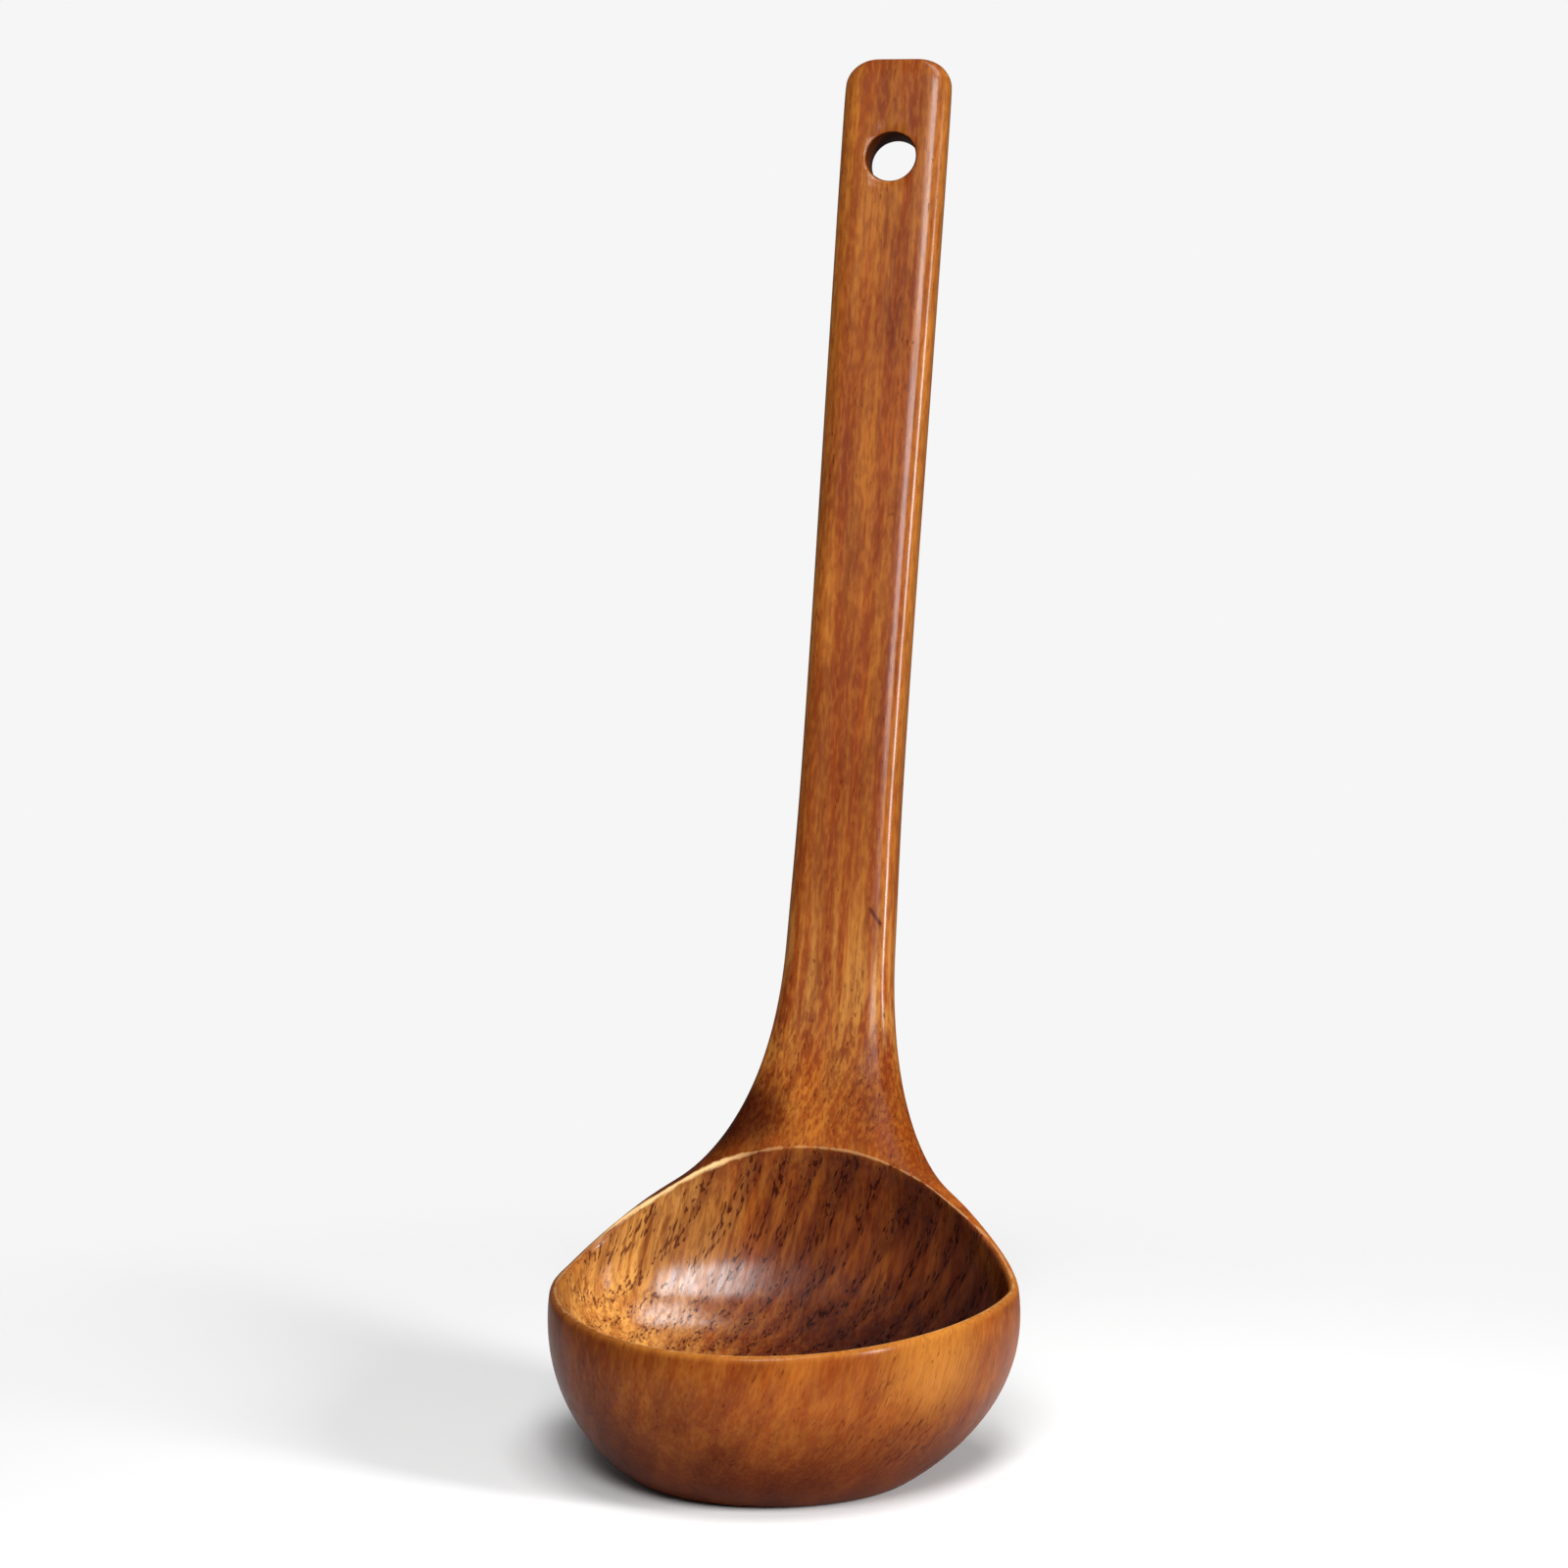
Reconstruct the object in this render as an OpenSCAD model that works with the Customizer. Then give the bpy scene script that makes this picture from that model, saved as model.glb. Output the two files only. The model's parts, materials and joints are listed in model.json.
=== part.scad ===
// Wooden soup ladle, carved from one piece of hardwood and lacquered all over.
// The bowl stands on a flat foot, the back of the rim flares up into a neck, and the neck
// runs into a flat handle that leans back and has a hole to hang it by.
// The origin is the centre of the foot, +Z is up, the front lip is towards -Y and the
// handle is towards +Y. The ladle is the same on both sides of X = 0. Sizes are in mm.

/* [Bowl] */
// Width of the bowl across its widest line
bowl_w = 80; // [66:1:96]
// How far the widest line lies behind the centre of the foot
widest_back = 11.4; // [8:0.1:14]
// How far the front lip reaches ahead of the widest line
lip_reach = 48.7; // [40:0.1:59]
// How far the hollow reaches behind the widest line
hollow_back = 19.3; // [16:0.1:24]
// Thickness of the back wall at the rim, where the neck grows out of it
seat_t = 9.5; // [7.6:0.1:11.4]
// Angle to each side of the back over which the wall thins to that of the rest of the rim
seat_spread = 58; // [50:1:70]
// Thickness of the wall at the rest of the rim
rim_t = 2; // [1.8:0.1:2.4]
// Rounding of the rim's two edges
lip_round = 0.9; // [0.3:0.1:0.9]
// Height of the rim at the front lip
lip_h = 28.5; // [23:0.1:34]
// Height of the rim at the widest line
side_h = 30.5; // [25:0.1:37]
// Height of the hollow's back edge, where the neck begins
back_h = 49.6; // [41:0.1:60]
// Diameter of the flat foot
foot_d = 47.8; // [39:0.1:58]
// Thickness of the floor under the hollow
floor_t = 12; // [8:0.5:14]

/* [Neck] */
// Angle that the foot of the neck takes up to each side of the back
neck_angle = 38; // [31:1:46]
// Height of the neck above the hollow's back edge
neck_rise = 34.6; // [28:0.1:42]
// How far the top of the neck lies behind the hollow's back edge
neck_reach = 22.3; // [18:0.1:27]

/* [Handle] */
// Length of the handle above the neck
handle_l = 162.3; // [130:0.1:196]
// Lean of the handle from upright, in degrees
handle_lean = 17.3; // [12:0.1:20]
// Width where the handle leaves the neck
handle_w = 19.4; // [16:0.1:23.4]
// Width at the waist, where the handle is narrowest
waist_w = 18.4; // [15:0.1:22.2]
// Height of the waist above the neck, measured along the handle
waist_up = 24; // [18:1:40]
// Width at the top of the handle
top_w = 19.9; // [16.5:0.1:24]
// Thickness where the handle leaves the neck
handle_t = 8.1; // [6.7:0.1:9.8]
// Thickness at the top of the handle
top_t = 5.5; // [4.5:0.1:6.7]
// Rounding of the handle's long edges
edge_r = 3; // [1:0.1:3.6]
// Rounding of the two corners at the top
corner_r = 5.2; // [3:0.1:6.5]
// How much thinner the handle is at its very end
end_ease = 1.6; // [0.5:0.1:2.4]
// Diameter of the hanging hole
hole_d = 9.2; // [6:0.1:11]
// Distance from the top of the handle to the centre of the hanging hole
hole_down = 19; // [14:0.1:30]

/* [Hidden] */

// Colour of the lacquered wood
wood = [0.66, 0.38, 0.16];

// Shape of the curves
oval_power = 2.05;     // 2 is an ellipse, more is squarer
rim_rise_power = 1.88; // how late the rim rises towards the back
rim_ease = 22;         // degrees over which the rim's rounding begins beside the neck
flare_out = 0.684;     // outer wall: share of the way out reached by the first curve handle
flare_up = 0.19;       // outer wall: share of the height reached by the first curve handle
belly_out = 0.117;     // outer wall: how far the second curve handle passes the rim
belly_back = -0.6;     // the same at the back, where the wall leans out into the neck
belly_down = 0.456;    // outer wall: how far the second curve handle lies below the rim
hollow_power = 2.3;    // 2 is an ellipse, more gives the hollow a flatter floor
front_lean = 36;       // neck: lean from upright at the middle of the seat, inside
back_lean = 34;        // neck: lean from upright at the middle of the seat, outside
lift_middle = 0.416;   // neck: length of the curve handle at the middle of the seat
lift_ends = 0.169;     // neck: length of the curve handle at the ends of the seat
settle = 0.531;        // neck: length of the curve handle at the top of the neck
side_turn = 1.92;      // neck: how late its sides turn along the rim

// Number of steps
seat_steps = 16;       // round the back of the rim, and across each face of neck and handle
rim_steps = 48;        // round the rest of the rim
wall_steps = 16;       // up the outer wall
hollow_steps = 12;     // down the hollow
neck_steps = 16;       // up the neck
edge_steps = 4;        // round one long edge of the handle
handle_steps = 12;     // up the handle
end_steps = 6;         // round the top corners

// Sizes that follow from the ones above
half_w = bowl_w / 2;
foot_r = foot_d / 2;
around = seat_steps + rim_steps;
section_points = 2 * (seat_steps + 1);
handle_up = [0, sin(handle_lean), cos(handle_lean)];
handle_back = [0, cos(handle_lean), -sin(handle_lean)];
handle_start = [0, widest_back + hollow_back + neck_reach, back_h + neck_rise];
bore_clear = 5;        // how far the drill runs past both faces of the handle
edge_flat = 0.6;       // flat that is left at least on each side face of the handle

// Curves
function mix(a, b, t) = a + (b - a) * t;
function unit(v) = v / norm(v);
function ease(t) = let (c = min(max(t, 0), 1)) c * c * (3 - 2 * c);
function bezier(a, b, c, d, t) =
    a * pow(1 - t, 3) + b * 3 * t * pow(1 - t, 2) + c * 3 * t * t * (1 - t) + d * pow(t, 3);

// Faces: the triangles between ring a and the next ring b, each of n points
function strip(a, b, n) = [
    for (i = [0:n - 1])
        let (j = (i + 1) % n)
        each [[a + i, a + j, b + j], [a + i, b + j, b + i]]
];
function strips(rings, n) = [for (k = [0:rings - 2]) each strip(k * n, (k + 1) * n, n)];
function cap(first, n) = [[for (i = [0:n - 1]) first + i]];
function cap_under(first, n) = [[for (i = [n - 1:-1:0]) first + i]];

// Angles round the bowl, from one end of the neck's seat, over the back, to the other end,
// and on round the front. 0 is the middle of the back.
ring_angles = concat(
    [for (i = [0:seat_steps]) mix(-neck_angle, neck_angle, i / seat_steps)],
    [for (i = [1:rim_steps - 1]) mix(neck_angle, 360 - neck_angle, i / rim_steps)]
);

function from_back(angle) = angle > 180 ? 360 - angle : abs(angle);

// An oval seen from above, about the widest line
function oval(angle, side, front, back) =
    let (
        s = sin(angle),
        c = cos(angle),
        k = pow(pow(abs(s), oval_power) + pow(abs(c), oval_power), -1 / oval_power)
    )
    [side * s * k, (c < 0 ? front : back) * c * k];
function back_wall(angle) = mix(rim_t, seat_t, ease(1 - from_back(angle) / seat_spread));
function outer_oval(angle, inset) =
    oval(angle, half_w - inset, lip_reach - inset, hollow_back + back_wall(angle) - inset);
function hollow_oval(angle, outset) =
    oval(angle, half_w - rim_t + outset, lip_reach - rim_t + outset, hollow_back + outset);

// Height of the rim, from how far back the hollow's edge is
function rim_height(back) = back < 0
    ? mix(side_h, lip_h, pow(back / (lip_reach - rim_t), 2))
    : mix(side_h, back_h, pow(back / hollow_back, rim_rise_power));
function rim_h(angle) = rim_height(hollow_oval(angle, 0)[1]);

// The rim's rounding fades out beside the neck, whose seat is flat across the wall
function rounding(angle) = lip_round * ease((from_back(angle) - neck_angle) / rim_ease);
function on_bowl(plan, height) = [plan[0], plan[1] + widest_back, height];
function rim_outside(angle, turn) =
    on_bowl(
        outer_oval(angle, rounding(angle) * (1 - cos(turn))),
        rim_h(angle) - lip_round * (1 - sin(turn))
    );
function rim_inside(angle, turn) =
    on_bowl(
        hollow_oval(angle, rounding(angle) * (1 - cos(turn))),
        rim_h(angle) - lip_round * (1 - sin(turn))
    );

// The outer wall runs from the foot's circle to the rim on one curve
function wall_point(angle, t) =
    let (
        foot = [foot_r * sin(angle), foot_r * cos(angle)],
        top = rim_outside(angle, 0),
        belly = mix(belly_out, belly_back, ease(1 - from_back(angle) / 90)),
        out = bezier(0, flare_out, 1 + belly, 1, t),
        up = bezier(0, flare_up, 1 - belly_down, 1, t),
        plan = mix(foot, [top[0], top[1]], out)
    )
    [plan[0], plan[1], top[2] * up];
function hollow_point(angle, turn) =
    let (
        top = rim_inside(angle, 0),
        out = pow(sin(turn), 2 / hollow_power),
        up = 1 - pow(cos(turn), 2 / hollow_power)
    )
    [top[0] * out, top[1] * out, mix(floor_t, top[2], up)];

// The bowl's rings: up the outer wall, over the rim and down the hollow
bowl_rings = concat(
    [for (k = [0:wall_steps]) [for (a = ring_angles) wall_point(a, k / wall_steps)]],
    [for (turn = [45, 90]) [for (a = ring_angles) rim_outside(a, turn)]],
    [for (turn = [90, 45]) [for (a = ring_angles) rim_inside(a, turn)]],
    [for (k = [hollow_steps:-1:1]) [for (a = ring_angles) hollow_point(a, 90 * k / hollow_steps)]]
);

module bowl() {
    rings = len(bowl_rings);
    pole = rings * around;
    last = (rings - 1) * around;
    points = concat([for (ring = bowl_rings) each ring], [[0, 0, floor_t]]);
    floor_fan = [for (i = [0:around - 1]) [last + i, last + (i + 1) % around, pole]];
    color(wood)
        polyhedron(points, concat(cap_under(0, around), strips(rings, around), floor_fan));
}

// Outline of the handle across its length: the back face from -X to +X, then the front face
function half_section(w, t, r) =
    let (flats = seat_steps - 2 * edge_steps)
    concat(
        [
            for (i = [0:edge_steps - 1])
                let (a = 90 * i / edge_steps)
                [-w / 2 + r - r * cos(a), t / 2 - r + r * sin(a)]
        ],
        [for (i = [0:flats]) [-w / 2 + r + (w - 2 * r) * i / flats, t / 2]],
        [
            for (i = [edge_steps - 1:-1:0])
                let (a = 90 * i / edge_steps)
                [w / 2 - r + r * cos(a), t / 2 - r + r * sin(a)]
        ]
    );
function section(w, t) =
    let (half = half_section(w, t, min(edge_r, (t - edge_flat) / 2)))
    concat(half, [for (i = [seat_steps:-1:0]) [half[i][0], -half[i][1]]]);

// The handle at a distance up from the neck
function width_at(up) = up < waist_up
    ? mix(handle_w, waist_w, ease(up / waist_up))
    : mix(waist_w, top_w, ease((up - waist_up) / (handle_l - waist_up)));
function thickness_at(up) = mix(handle_t, top_t, up / handle_l);
function handle_ring(up, narrower, thinner) = [
    for (p = section(width_at(up) - narrower, thickness_at(up) - thinner))
        handle_start + [p[0], 0, 0] + handle_back * p[1] + handle_up * up
];
straight_l = handle_l - corner_r;
handle_rings = concat(
    [for (k = [0:handle_steps]) handle_ring(straight_l * k / handle_steps, 0, 0)],
    [
        for (k = [1:end_steps])
            let (turn = 90 * k / end_steps)
            handle_ring(
                straight_l + corner_r * sin(turn),
                2 * corner_r * (1 - cos(turn)),
                end_ease * (1 - cos(turn))
            )
    ]
);

module handle() {
    rings = len(handle_rings);
    n = section_points;
    ends = concat(cap_under(0, n), cap((rings - 1) * n, n));
    hole_up = handle_l - hole_down;
    bore_l = thickness_at(hole_up) + 2 * bore_clear;
    color(wood)
        difference() {
            polyhedron([for (ring = handle_rings) each ring], concat(strips(rings, n), ends));
            translate(handle_start + handle_up * hole_up)
                rotate([-90 - handle_lean, 0, 0])
                    cylinder(d = hole_d, h = bore_l, center = true, $fn = 64);
        }
}

// The neck stands on the flat of the rim behind the hollow and ends in the handle's outline.
// Each point goes up its own curve: it leans back from the middle of the seat, and runs along
// the rim at the seat's ends, so that the neck flares into the rim.
seat_angles = [for (i = [0:seat_steps]) ring_angles[i]];
neck_outside = [for (a = seat_angles) rim_outside(a, 90)];
neck_inside = [for (i = [seat_steps:-1:0]) rim_inside(seat_angles[i], 90)];
neck_seat = concat(neck_outside, neck_inside);
neck_angles = concat(seat_angles, [for (i = [seat_steps:-1:0]) seat_angles[i]]);
neck_leans = concat([for (a = seat_angles) back_lean], [for (a = seat_angles) front_lean]);
neck_top = handle_rings[0];

function rim_direction(angle) =
    let (
        step = 0.5,
        towards = angle < 0 ? step : -step
    )
    unit(rim_outside(angle + towards, 90) - rim_outside(angle - towards, 90));
function neck_point(i, t) =
    let (
        from = neck_seat[i],
        to = neck_top[i],
        side = abs(neck_angles[i]) / neck_angle,
        lean = [0, sin(neck_leans[i]), cos(neck_leans[i])],
        start = unit(mix(lean, rim_direction(neck_angles[i]), pow(side, side_turn))),
        span = norm(to - from)
    )
    bezier(
        from,
        from + start * span * mix(lift_middle, lift_ends, side),
        to - handle_up * span * settle,
        to,
        t
    );

module neck() {
    n = section_points;
    top = neck_steps * n;
    points = [for (k = [0:neck_steps]) for (i = [0:n - 1]) neck_point(i, k / neck_steps)];
    seat = [
        for (i = [0:seat_steps - 1])
            let (j = n - 1 - i)
            each [[i, j - 1, i + 1], [i, j, j - 1]]
    ];
    color(wood)
        polyhedron(points, concat(seat, strips(neck_steps + 1, n), cap(top, n)));
}

bowl();
neck();
handle();
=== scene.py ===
# %% [markdown]
# # A carved and lacquered soup ladle
# The real ladle is carved from one block of hardwood, stained a warm orange-brown and
# varnished until it shines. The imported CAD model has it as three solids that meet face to
# face: bowl, neck and handle. Here they become one unbroken skin, because the real surface
# runs from the lip to the top of the handle without a joint. The frame is loaded first, and
# its box is kept so that the finished piece can be measured against it.

# %% Load the frame
import json
import math
from collections import namedtuple

import bmesh
import bpy
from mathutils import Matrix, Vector, kdtree

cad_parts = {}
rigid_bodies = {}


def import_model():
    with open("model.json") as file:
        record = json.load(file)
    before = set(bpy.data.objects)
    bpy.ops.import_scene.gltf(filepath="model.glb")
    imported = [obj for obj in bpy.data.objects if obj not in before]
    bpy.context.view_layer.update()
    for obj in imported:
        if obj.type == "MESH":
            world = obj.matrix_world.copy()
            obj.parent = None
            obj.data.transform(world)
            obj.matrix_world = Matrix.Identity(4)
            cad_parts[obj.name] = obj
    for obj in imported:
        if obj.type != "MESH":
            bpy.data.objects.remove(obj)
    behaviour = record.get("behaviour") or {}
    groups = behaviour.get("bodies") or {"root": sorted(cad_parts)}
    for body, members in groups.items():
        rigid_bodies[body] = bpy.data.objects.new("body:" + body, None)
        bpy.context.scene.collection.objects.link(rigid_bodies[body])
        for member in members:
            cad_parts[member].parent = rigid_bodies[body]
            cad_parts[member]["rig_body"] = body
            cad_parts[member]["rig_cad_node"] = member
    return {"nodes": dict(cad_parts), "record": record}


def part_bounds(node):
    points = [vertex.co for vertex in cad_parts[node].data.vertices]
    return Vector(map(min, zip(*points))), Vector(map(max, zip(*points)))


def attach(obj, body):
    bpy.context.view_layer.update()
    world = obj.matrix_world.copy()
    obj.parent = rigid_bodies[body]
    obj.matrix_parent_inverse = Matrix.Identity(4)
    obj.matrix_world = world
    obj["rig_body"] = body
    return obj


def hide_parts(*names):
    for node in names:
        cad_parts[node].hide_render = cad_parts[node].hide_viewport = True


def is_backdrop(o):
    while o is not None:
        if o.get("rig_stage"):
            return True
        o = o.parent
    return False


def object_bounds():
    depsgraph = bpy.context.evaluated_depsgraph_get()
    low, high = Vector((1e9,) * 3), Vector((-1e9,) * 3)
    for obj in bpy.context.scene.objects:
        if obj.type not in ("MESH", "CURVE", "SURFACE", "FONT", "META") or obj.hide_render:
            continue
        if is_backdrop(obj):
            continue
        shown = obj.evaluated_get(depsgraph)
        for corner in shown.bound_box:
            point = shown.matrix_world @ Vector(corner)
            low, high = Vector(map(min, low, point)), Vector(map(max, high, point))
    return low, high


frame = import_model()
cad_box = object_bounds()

MM = 0.001


def in_mm(corners, digits=2):
    """Corners or places as rounded millimetres, for printing."""
    return [[round(v / MM, digits) for v in corner] for corner in corners]


parts = {"bowl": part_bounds("bowl"), "neck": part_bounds("neck"), "handle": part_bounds("handle")}
for part_name, part_box in parts.items():
    print(part_name, "box, mm:", in_mm(part_box, 1))

# %% [markdown]
# ## Which way the handle leans
# The hanging hole goes straight through the flat handle, so the hole's axis, which the record
# states, is square to the handle's face. Turning it a quarter turn about X gives the
# direction that the handle, and the grain of the wood, runs in.

# %% Directions along and through the handle
hole = [mount for mount in frame["record"]["mounts"] if mount["name"] == "hanging_hole"][0]
hole_place = Vector(hole["pos_m"])
through = -Vector(hole["axis"])
up_handle = Vector((0, -through.z, through.y))
print("up the handle:", [round(v, 4) for v in up_handle])
print("lean from upright, degrees:", round(math.degrees(math.asin(up_handle.y)), 2))

# %% [markdown]
# ## Working in edit mode from code
# Operators act on whatever is selected. These helpers start from nothing selected and then
# select by place, so that each step says in words which faces or edges it works on.

# %% Selecting objects, faces and edges
select_modes = {"faces": "FACE", "edges": "EDGE", "verts": "VERT"}


def pick(*pieces):
    bpy.ops.object.select_all(action="DESELECT")
    for piece in pieces:
        piece.select_set(True)
    bpy.context.view_layer.objects.active = pieces[0]


def edit(piece):
    pick(piece)
    bpy.ops.object.mode_set(mode="EDIT")
    bpy.ops.mesh.select_all(action="DESELECT")


def leave():
    bpy.ops.object.mode_set(mode="OBJECT")


def select(piece, kind, test):
    """Selects only the faces, edges or verts that pass a test, and returns how many."""
    bpy.ops.mesh.select_mode(type=select_modes[kind])
    bpy.ops.mesh.select_all(action="DESELECT")
    shape = bmesh.from_edit_mesh(piece.data)
    chosen = [part for part in getattr(shape, kind) if test(part)]
    for part in chosen:
        part.select_set(True)
    shape.select_flush_mode()
    bmesh.update_edit_mesh(piece.data)
    return len(chosen)


def cut_away(piece, label, kind, test):
    """Deletes the faces or verts that pass a test, and prints how many there were."""
    edit(piece)
    print(label, select(piece, kind, test))
    bpy.ops.mesh.delete(type=select_modes[kind])
    leave()


# %% [markdown]
# ## Finding corners by place
# The two copies that come next are known to meet, so a corner of one is recognised by lying
# in the same place as a corner of the other. A tree of places finds the nearest one at once,
# where comparing every corner with every other would be slow.

# %% A tree of places
merge_within = 0.005 * MM
same_within = 0.02 * MM
level_within = 0.01 * MM


def tree_of(points):
    tree = kdtree.KDTree(len(points))
    for index, point in enumerate(points):
        tree.insert(point, index)
    tree.balance()
    return tree


def is_at(tree, corner):
    return tree.find(corner.co)[2] < same_within


def touches(tree, part):
    return all(is_at(tree, corner) for corner in part.verts)


def merge_corners(piece):
    edit(piece)
    bpy.ops.mesh.select_all(action="SELECT")
    bpy.ops.mesh.remove_doubles(threshold=merge_within)
    leave()


# %% [markdown]
# ## Copies of the bowl and the neck
# The bowl's outer wall and hollow are ovals that change all the way up, and the neck flares
# out of the rim. Both shapes are already right in the CAD, so they are copied and not
# modelled again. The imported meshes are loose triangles: the copies are merged first, and
# pairs of triangles become four-sided faces, which a subdivision surface smooths evenly.

# %% Copy and merge
def copy_of(node, name):
    pick(frame["nodes"][node])
    bpy.ops.object.duplicate()
    made = bpy.context.object
    made.name = made.data.name = name
    made.parent = None
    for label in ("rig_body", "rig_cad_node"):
        del made[label]
    made.data.materials.clear()
    merge_corners(made)
    print(name, len(made.data.vertices), "corners,", len(made.data.polygons), "triangles")
    return made


bowl_skin = copy_of("bowl", "ladle")
neck_skin = copy_of("neck", "neck_skin")
bowl_corners, neck_corners = (
    tree_of([corner.co for corner in skin.data.vertices]) for skin in (bowl_skin, neck_skin)
)

# %% [markdown]
# ## Faces that the skin doesn't need
# Where the neck stands on the rim, both copies have faces that would lie inside the wood,
# and so do the neck's top and the handle. The foot is one big many-sided face and the
# hollow's floor is a fan of thin triangles, and those two would pucker when smoothed. The
# foot, the middle of the floor and the neck's top are found by place and deleted here, and
# the faces between the bowl and the neck once the quads are made.

# %% Delete the foot, the pole of the hollow and the neck's top
floor_above = 5 * MM
neck_top = min(corner.co.dot(up_handle) for corner in frame["nodes"]["handle"].data.vertices)


def is_on_ground(corner):
    return corner.co.z < level_within


def is_on_foot(part):
    return all(is_on_ground(corner) for corner in part.verts)


def is_floor_pole(corner):
    return corner.co.xy.length < level_within and corner.co.z > floor_above


def is_neck_top(face):
    return all(corner.co.dot(up_handle) > neck_top - level_within for corner in face.verts)


cut_away(bowl_skin, "foot faces:", "faces", is_on_foot)
cut_away(bowl_skin, "pole of the hollow:", "verts", is_floor_pole)
cut_away(neck_skin, "faces on the neck's top:", "faces", is_neck_top)

# %% [markdown]
# ## Triangles to quads
# Blender's own tool for this pairs triangles by shape, and it picks wrong partners where the
# wall is skewed. Here the triangles lie in rings, so the rings are counted up from the
# lowest one. A triangle that stands on a ring has one upright side and one diagonal, and
# going round the face tells which is which. Dissolving all the diagonals leaves clean quads.

# %% Dissolve the diagonals
def count_rings(shape, in_lowest_ring):
    """The ring that each corner lies in, counted up from the lowest ring, which is 0."""
    ring = {corner: 0 for corner in shape.verts if in_lowest_ring(corner)}
    front = list(ring)
    while front:
        grown = []
        for corner in front:
            for side in corner.link_edges:
                other = side.other_vert(corner)
                if other not in ring:
                    ring[other] = ring[corner] + 1
                    grown.append(other)
        front = grown
    return ring


def make_quads(piece, in_lowest_ring):
    edit(piece)
    shape = bmesh.from_edit_mesh(piece.data)
    ring = count_rings(shape, in_lowest_ring)
    for face in shape.faces:
        for turn in face.loops:
            on_ring = ring[turn.vert] == ring[turn.link_loop_next.vert]
            if on_ring and ring[turn.link_loop_prev.vert] == ring[turn.vert] + 1:
                turn.link_loop_next.edge.select_set(True)
    bmesh.update_edit_mesh(piece.data)
    bpy.ops.mesh.dissolve_edges(use_verts=False)
    leave()
    sides = [len(face.vertices) for face in piece.data.polygons]
    print(piece.name, "quads:", sides.count(4), "other faces:", len(sides) - sides.count(4))


make_quads(bowl_skin, is_on_ground)
make_quads(neck_skin, lambda corner: is_at(bowl_corners, corner))

# %% [markdown]
# ## Marking the hollow and its edge
# The hollow is darker inside, partly as stain and partly as painted shade, and a pale line runs
# along its edge, partly as wear and partly as a painted highlight. The finish has to know where
# those are. While the rings can still be counted, each corner is marked 1 inside the hollow and 0
# elsewhere, and the line of the edge is kept: the wall has 17 rings, the rim's rounding has four,
# two outside and two inside, and the edge is the first of the two inside. The mark rises from 0 to
# 1 over the two rings after it.

# %% Mark the hollow and keep the line of its edge
wall_rings = 17
rings_outside_rim = 2
rings_to_full_mark = 2
edge_ring = wall_rings + rings_outside_rim
inside_y = 10 * MM

edit(bowl_skin)
shape = bmesh.from_edit_mesh(bowl_skin.data)
in_hollow = shape.verts.layers.float.new("hollow")
edge_line = []
for corner, ring in count_rings(shape, is_on_ground).items():
    corner[in_hollow] = min(max((ring - edge_ring) / rings_to_full_mark, 0), 1)
    if ring == edge_ring:
        edge_line.append(corner.co.copy())
bmesh.update_edit_mesh(bowl_skin.data)
leave()
edge_line.sort(key=lambda point: math.atan2(point.x, point.y - inside_y))
print("points along the hollow's edge:", len(edge_line))

# %% [markdown]
# ## One skin from bowl to neck
# The faces of the seat, on which the neck stands, have all their corners on the other part.
# Once they are gone, the two copies are joined and merged, and only the foot, the floor and
# the neck's top are open.

# %% Open the seat and join
for skin, others in ((bowl_skin, neck_corners), (neck_skin, bowl_corners)):
    cut_away(skin, "seat faces:", "faces", lambda face: touches(others, face))
pick(bowl_skin, neck_skin)
bpy.ops.object.join()
ladle = bpy.context.object
merge_corners(ladle)
print("corners of the bowl and neck together:", len(ladle.data.vertices))

# %% [markdown]
# ## The foot and the floor of the hollow
# Both openings are filled again with a grid, which smooths evenly. The foot first gets a
# narrow band just inside its edge, so that smoothing rounds the edge by about a millimetre
# and leaves the rest flat, as sanding does.

# %% Fill the foot and the floor with grids
foot_band = 0.95
grid_side = 16
floor_below = 20 * MM

edit(ladle)
print("foot edge:", select(ladle, "edges", lambda edge: edge.is_boundary and is_on_foot(edge)))
bpy.ops.mesh.extrude_edges_move(TRANSFORM_OT_translate={"value": (0, 0, 0)})
bpy.ops.transform.resize(value=(foot_band, foot_band, 1), center_override=(0, 0, 0))
bpy.ops.mesh.fill_grid(span=grid_side)


def is_floor_edge(edge):
    return edge.is_boundary and max(corner.co.z for corner in edge.verts) < floor_below


print("floor edge:", select(ladle, "edges", is_floor_edge))
bpy.ops.mesh.fill_grid(span=grid_side)
leave()

# %% [markdown]
# ## The handle: what to draw
# The handle could be a copy too, but the CAD cuts its hole into long triangles that would
# spoil the gloss. So it is drawn anew, and the CAD handle only says how wide and thick it is
# at each level. A level with few corners belongs to the edge of the hole and is left out.

# %% Levels, widths and thicknesses of the CAD handle
fewest_corners = 16
Loop = namedtuple("Loop", "up width thickness depth")


def round_mm(length):
    return round(length / MM, 2)


levels = {}
for corner in frame["nodes"]["handle"].data.vertices:
    level = levels.setdefault(round_mm(corner.co.dot(up_handle) - neck_top), set())
    level.add((round_mm(corner.co.x), round_mm(corner.co.dot(through))))

loops = []
for up in sorted(levels):
    if len(levels[up]) < fewest_corners:
        continue
    across, depths = zip(*levels[up])
    width = max(across) - min(across)
    thickness = max(depths) - min(depths)
    depth = (max(depths) + min(depths)) / 2
    loops.append(Loop(up * MM, width * MM, thickness * MM, depth * MM))
print("levels, mm up the handle:", [round(loop.up / MM, 1) for loop in loops])
print("at the neck, mm:", round_mm(loops[0].width), "wide,", round_mm(loops[0].thickness), "thick")

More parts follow.
